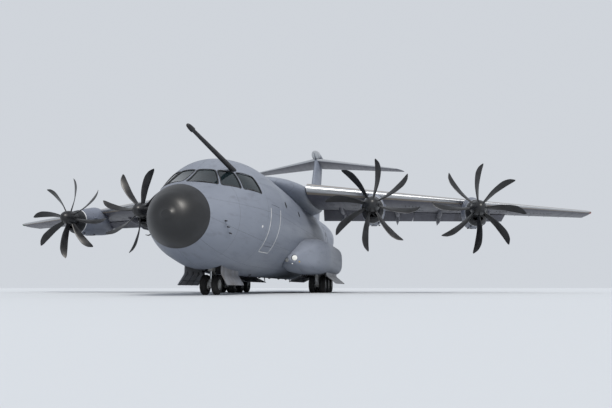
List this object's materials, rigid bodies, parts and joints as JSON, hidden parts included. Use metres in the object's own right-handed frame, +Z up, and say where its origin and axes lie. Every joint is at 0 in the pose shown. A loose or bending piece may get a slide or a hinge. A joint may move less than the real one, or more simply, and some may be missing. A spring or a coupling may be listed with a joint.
{
  "type": "military transport plane, four propellers, high wing and T-tail, 1:2 scale model",
  "caption": "Grey military transport plane with high wing, T-tail, scimitar-bladed propellers, wheel sponsons and a rear loading ramp, standing on its gear at half scale.",
  "frame": {"origin": "On the ground, at the centre of the plane's bounding box", "axes": "X to the plane's left, Y to its tail, Z up"},
  "size_m": [21.2, 22.5538, 7.35],
  "materials": {
    "grey_paint": "satin",
    "wing_paint": "satin",
    "radome_paint": "matte",
    "nacelle_paint": "satin",
    "engine_metal": "satin",
    "propeller_black": "satin",
    "tyre_rubber": "matte",
    "gear_paint": "satin",
    "window_glass": "gloss",
    "interior_grey": "matte"
  },
  "bodies": {
    "airframe": {"flight_deck_shell": "grey_paint", "fuselage_forward": "grey_paint", "fuselage_centre": "grey_paint", "fuselage_aft": "grey_paint", "tail_cone": "grey_paint", "refuelling_probe": "grey_paint", "wing_centre": "grey_paint", "sponson_port": "grey_paint", "sponson_starboard": "grey_paint", "main_door_port_outer": "grey_paint", "main_door_port_inner": "grey_paint", "main_door_starboard_outer": "grey_paint", "main_door_starboard_inner": "grey_paint", "nose_door_port": "grey_paint", "nose_door_starboard": "grey_paint", "fin": "grey_paint", "wing_port": "wing_paint", "wing_starboard": "wing_paint", "tailplane": "wing_paint", "nose_radome": "radome_paint", "nacelle_port_outer": "nacelle_paint", "nacelle_port_inner": "nacelle_paint", "nacelle_starboard_inner": "nacelle_paint", "nacelle_starboard_outer": "nacelle_paint", "engine_port_outer": "engine_metal", "engine_port_inner": "engine_metal", "engine_starboard_inner": "engine_metal", "engine_starboard_outer": "engine_metal", "main_legs_port": "gear_paint", "main_legs_starboard": "gear_paint", "nose_leg_fixed": "gear_paint", "windscreen": "window_glass", "flight_deck_interior": "interior_grey"},
    "propeller_port_outer": {"propeller_port_outer": "propeller_black"},
    "propeller_port_inner": {"propeller_port_inner": "propeller_black"},
    "propeller_starboard_inner": {"propeller_starboard_inner": "propeller_black"},
    "propeller_starboard_outer": {"propeller_starboard_outer": "propeller_black"},
    "flap_port_inner": {"flap_port_inner": "wing_paint"},
    "flap_port_outer": {"flap_port_outer": "wing_paint"},
    "aileron_port": {"aileron_port": "wing_paint"},
    "elevator_port": {"elevator_port": "wing_paint"},
    "flap_starboard_inner": {"flap_starboard_inner": "wing_paint"},
    "flap_starboard_outer": {"flap_starboard_outer": "wing_paint"},
    "aileron_starboard": {"aileron_starboard": "wing_paint"},
    "elevator_starboard": {"elevator_starboard": "wing_paint"},
    "rudder": {"rudder": "grey_paint"},
    "cargo_ramp": {"cargo_ramp": "grey_paint"},
    "cargo_door_aft": {"cargo_door_aft": "grey_paint"},
    "crew_door": {"crew_door": "grey_paint"},
    "nose_leg": {"nose_leg_steered": "gear_paint"},
    "nose_wheels": {"nose_wheels": "tyre_rubber"},
    "main_wheels_port_front": {"main_wheels_port_front": "tyre_rubber"},
    "main_wheels_port_middle": {"main_wheels_port_middle": "tyre_rubber"},
    "main_wheels_port_rear": {"main_wheels_port_rear": "tyre_rubber"},
    "main_wheels_starboard_front": {"main_wheels_starboard_front": "tyre_rubber"},
    "main_wheels_starboard_middle": {"main_wheels_starboard_middle": "tyre_rubber"},
    "main_wheels_starboard_rear": {"main_wheels_starboard_rear": "tyre_rubber"}
  },
  "joints": [
    {"name": "propeller_port_outer_spin", "type": "hinge", "parent": "airframe", "child": "propeller_port_outer", "pos_m": [6.51, -4.01, 2.45], "axis": [0, 1, 0], "continuous": true},
    {"name": "propeller_port_inner_spin", "type": "hinge", "parent": "airframe", "child": "propeller_port_inner", "pos_m": [3.48, -4.975, 2.485], "axis": [0, 1, 0], "continuous": true},
    {"name": "propeller_starboard_inner_spin", "type": "hinge", "parent": "airframe", "child": "propeller_starboard_inner", "pos_m": [-3.48, -4.975, 2.485], "axis": [0, 1, 0], "continuous": true},
    {"name": "propeller_starboard_outer_spin", "type": "hinge", "parent": "airframe", "child": "propeller_starboard_outer", "pos_m": [-6.51, -4.01, 2.45], "axis": [0, 1, 0], "continuous": true},
    {"name": "flap_port_inner_lower", "type": "hinge", "parent": "airframe", "child": "flap_port_inner", "pos_m": [1.58653, -1.185, 2.85036], "axis": [0.9944, 0.0908, -0.0537], "range_deg": [-14, 26]},
    {"name": "flap_port_outer_lower", "type": "hinge", "parent": "airframe", "child": "flap_port_outer", "pos_m": [1.58653, -1.185, 2.85036], "axis": [0.9944, 0.0908, -0.0537], "range_deg": [-14, 26]},
    {"name": "aileron_port_hinge", "type": "hinge", "parent": "airframe", "child": "aileron_port", "pos_m": [8.06, -0.69221, 2.74342], "axis": [0.9848, 0.1666, -0.0497], "range_deg": [-25, 25]},
    {"name": "elevator_port_hinge", "type": "hinge", "parent": "airframe", "child": "elevator_port", "pos_m": [0.375, 9.13648, 6.875], "axis": [0.9085, 0.4179, 0], "range_deg": [-20, 25]},
    {"name": "flap_starboard_inner_lower", "type": "hinge", "parent": "airframe", "child": "flap_starboard_inner", "pos_m": [-1.58653, -1.185, 2.85036], "axis": [0.9944, -0.0908, 0.0537], "range_deg": [-14, 26]},
    {"name": "flap_starboard_outer_lower", "type": "hinge", "parent": "airframe", "child": "flap_starboard_outer", "pos_m": [-1.58653, -1.185, 2.85036], "axis": [0.9944, -0.0908, 0.0537], "range_deg": [-14, 26]},
    {"name": "aileron_starboard_hinge", "type": "hinge", "parent": "airframe", "child": "aileron_starboard", "pos_m": [-8.06, -0.69221, 2.74342], "axis": [0.9848, -0.1666, 0.0497], "range_deg": [-25, 25]},
    {"name": "elevator_starboard_hinge", "type": "hinge", "parent": "airframe", "child": "elevator_starboard", "pos_m": [-0.375, 9.13648, 6.875], "axis": [0.9085, -0.4179, 0], "range_deg": [-20, 25]},
    {"name": "rudder_hinge", "type": "hinge", "parent": "airframe", "child": "rudder", "pos_m": [0, 7.44187, 3.475], "axis": [0, 0.4213, 0.9069], "range_deg": [-30, 30]},
    {"name": "cargo_ramp_hinge", "type": "hinge", "parent": "airframe", "child": "cargo_ramp", "pos_m": [0, 1.365, 0.48], "axis": [1, 0, 0], "range_deg": [-22, 0]},
    {"name": "cargo_door_aft_hinge", "type": "hinge", "parent": "airframe", "child": "cargo_door_aft", "pos_m": [0, 6.415, 2.33], "axis": [1, 0, 0], "range_deg": [-24, 0]},
    {"name": "crew_door_hinge", "type": "hinge", "parent": "airframe", "child": "crew_door", "pos_m": [1.18, -7.785, 1.115], "axis": [0, 1, 0], "range_deg": [0, 105]},
    {"name": "nose_steering", "type": "hinge", "parent": "airframe", "child": "nose_leg", "pos_m": [0, -8.335, 0.61], "axis": [0, 0, 1], "range_deg": [-60, 60]},
    {"name": "nose_wheels_roll", "type": "hinge", "parent": "nose_leg", "child": "nose_wheels", "pos_m": [0, -8.335, 0.23], "axis": [1, 0, 0], "continuous": true},
    {"name": "main_wheels_port_front_roll", "type": "hinge", "parent": "airframe", "child": "main_wheels_port_front", "pos_m": [1.54, -2.36, 0.275], "axis": [1, 0, 0], "continuous": true},
    {"name": "main_wheels_port_middle_roll", "type": "hinge", "parent": "airframe", "child": "main_wheels_port_middle", "pos_m": [1.54, -1.535, 0.275], "axis": [1, 0, 0], "continuous": true},
    {"name": "main_wheels_port_rear_roll", "type": "hinge", "parent": "airframe", "child": "main_wheels_port_rear", "pos_m": [1.54, -0.71, 0.275], "axis": [1, 0, 0], "continuous": true},
    {"name": "main_wheels_starboard_front_roll", "type": "hinge", "parent": "airframe", "child": "main_wheels_starboard_front", "pos_m": [-1.54, -2.36, 0.275], "axis": [1, 0, 0], "continuous": true},
    {"name": "main_wheels_starboard_middle_roll", "type": "hinge", "parent": "airframe", "child": "main_wheels_starboard_middle", "pos_m": [-1.54, -1.535, 0.275], "axis": [1, 0, 0], "continuous": true},
    {"name": "main_wheels_starboard_rear_roll", "type": "hinge", "parent": "airframe", "child": "main_wheels_starboard_rear", "pos_m": [-1.54, -0.71, 0.275], "axis": [1, 0, 0], "continuous": true}
  ]
}
